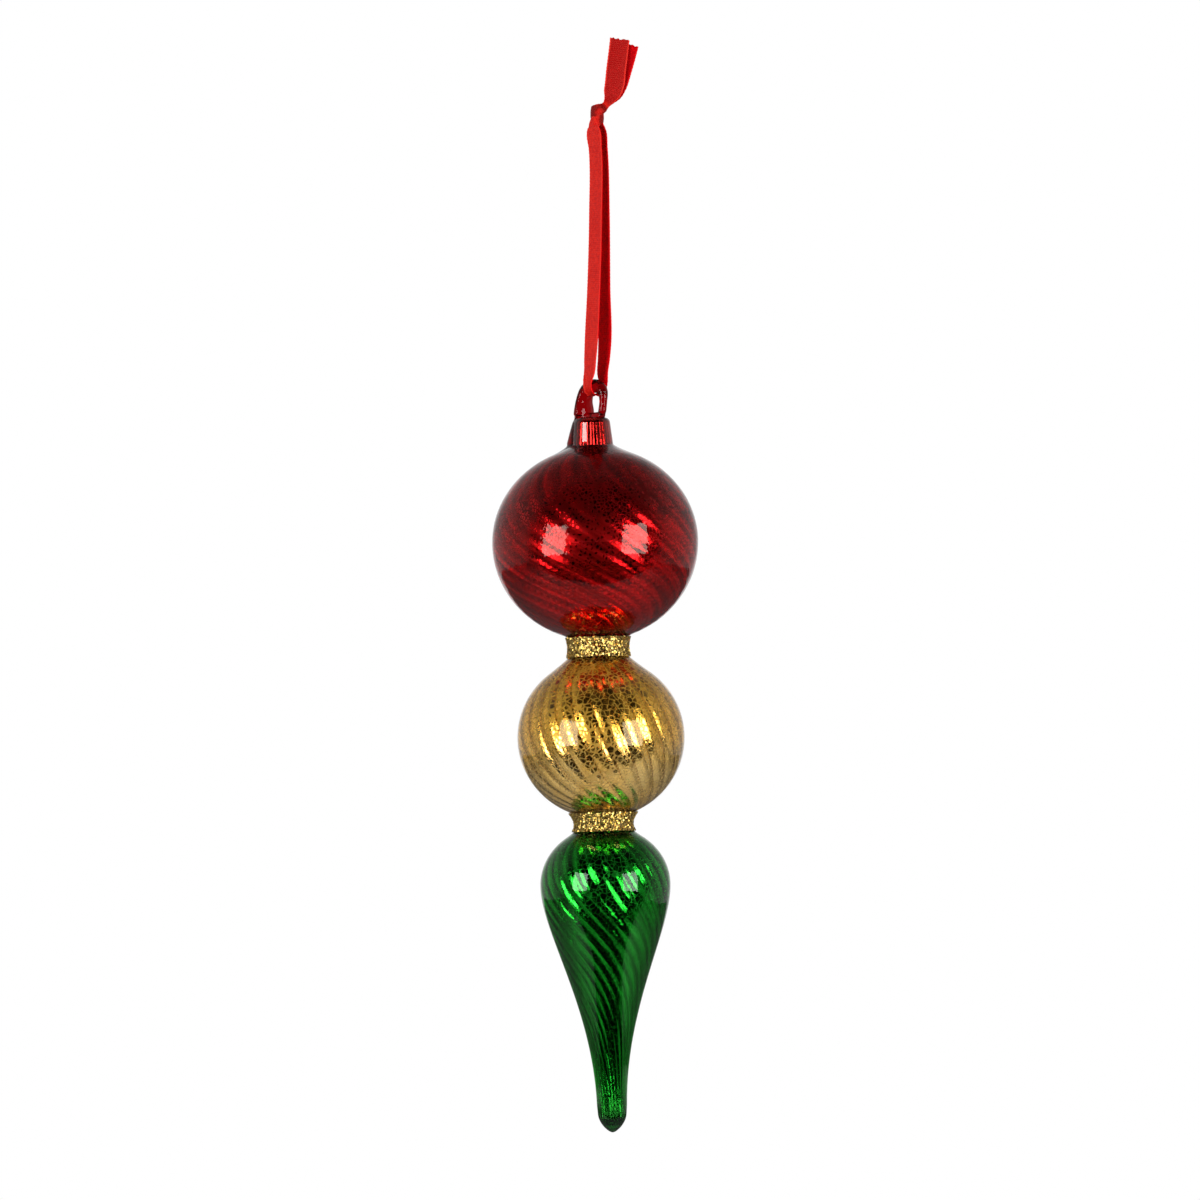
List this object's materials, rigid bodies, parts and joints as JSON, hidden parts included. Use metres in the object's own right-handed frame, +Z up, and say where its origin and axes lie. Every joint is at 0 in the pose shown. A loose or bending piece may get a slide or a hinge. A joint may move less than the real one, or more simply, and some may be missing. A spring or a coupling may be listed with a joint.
{
  "type": "glass finial ornament",
  "caption": "Hanging glass finial ornament: silvered red ball, gold ball and green drop joined under glitter bands, with a glass eye that swings and turns in a looped satin ribbon.",
  "frame": {"origin": "the hanging point: inside the top of the ribbon loop, just under its knot", "axes": "+Z up along the hanging ribbon; +X in the plane of the glass eye, towards its thin leg; +Y along the eye's hole. The glass axis leans 2.67 degrees, its foot towards +X"},
  "size_m": [0.0695, 0.0696, 0.3686],
  "materials": {
    "red_satin": "woven satin ribbon, bright face and duller back",
    "red_glass": "smooth polished blown glass",
    "gold_glass": "smooth polished blown glass",
    "green_glass": "smooth polished blown glass",
    "red_silver": "crackled silvering behind red glass",
    "gold_silver": "crackled silvering behind gold glass",
    "green_silver": "crackled silvering behind green glass",
    "gold_glitter": "fine loose-grain glitter",
    "adhesive": "clear amber cement"
  },
  "bodies": {
    "ribbon": {"ribbon_front_strand": "red_satin", "ribbon_back_strand": "red_satin", "ribbon_knot": "red_satin", "ribbon_tail_front": "red_satin", "ribbon_tail_back": "red_satin"},
    "ribbon_turn": {"ribbon_bight": "red_satin"},
    "ornament": {"glass_hook": "red_glass", "red_bulb": "red_glass", "red_silvering": "red_silver", "upper_adhesive": "adhesive", "upper_glitter_band": "gold_glitter", "gold_bulb": "gold_glass", "gold_silvering": "gold_silver", "lower_adhesive": "adhesive", "lower_glitter_band": "gold_glitter", "green_drop": "green_glass", "green_silvering": "green_silver"}
  },
  "joints": [
    {"name": "ribbon_twist", "type": "hinge", "parent": "ribbon", "child": "ribbon_turn", "pos_m": [0, 0, -0.0845], "axis": [0, 0, 1], "range_deg": [-180, 180]},
    {"name": "ornament_swing", "type": "hinge", "parent": "ribbon_turn", "child": "ornament", "pos_m": [0, 0, -0.088], "axis": [1, 0, 0], "range_deg": [-110, 110]}
  ]
}
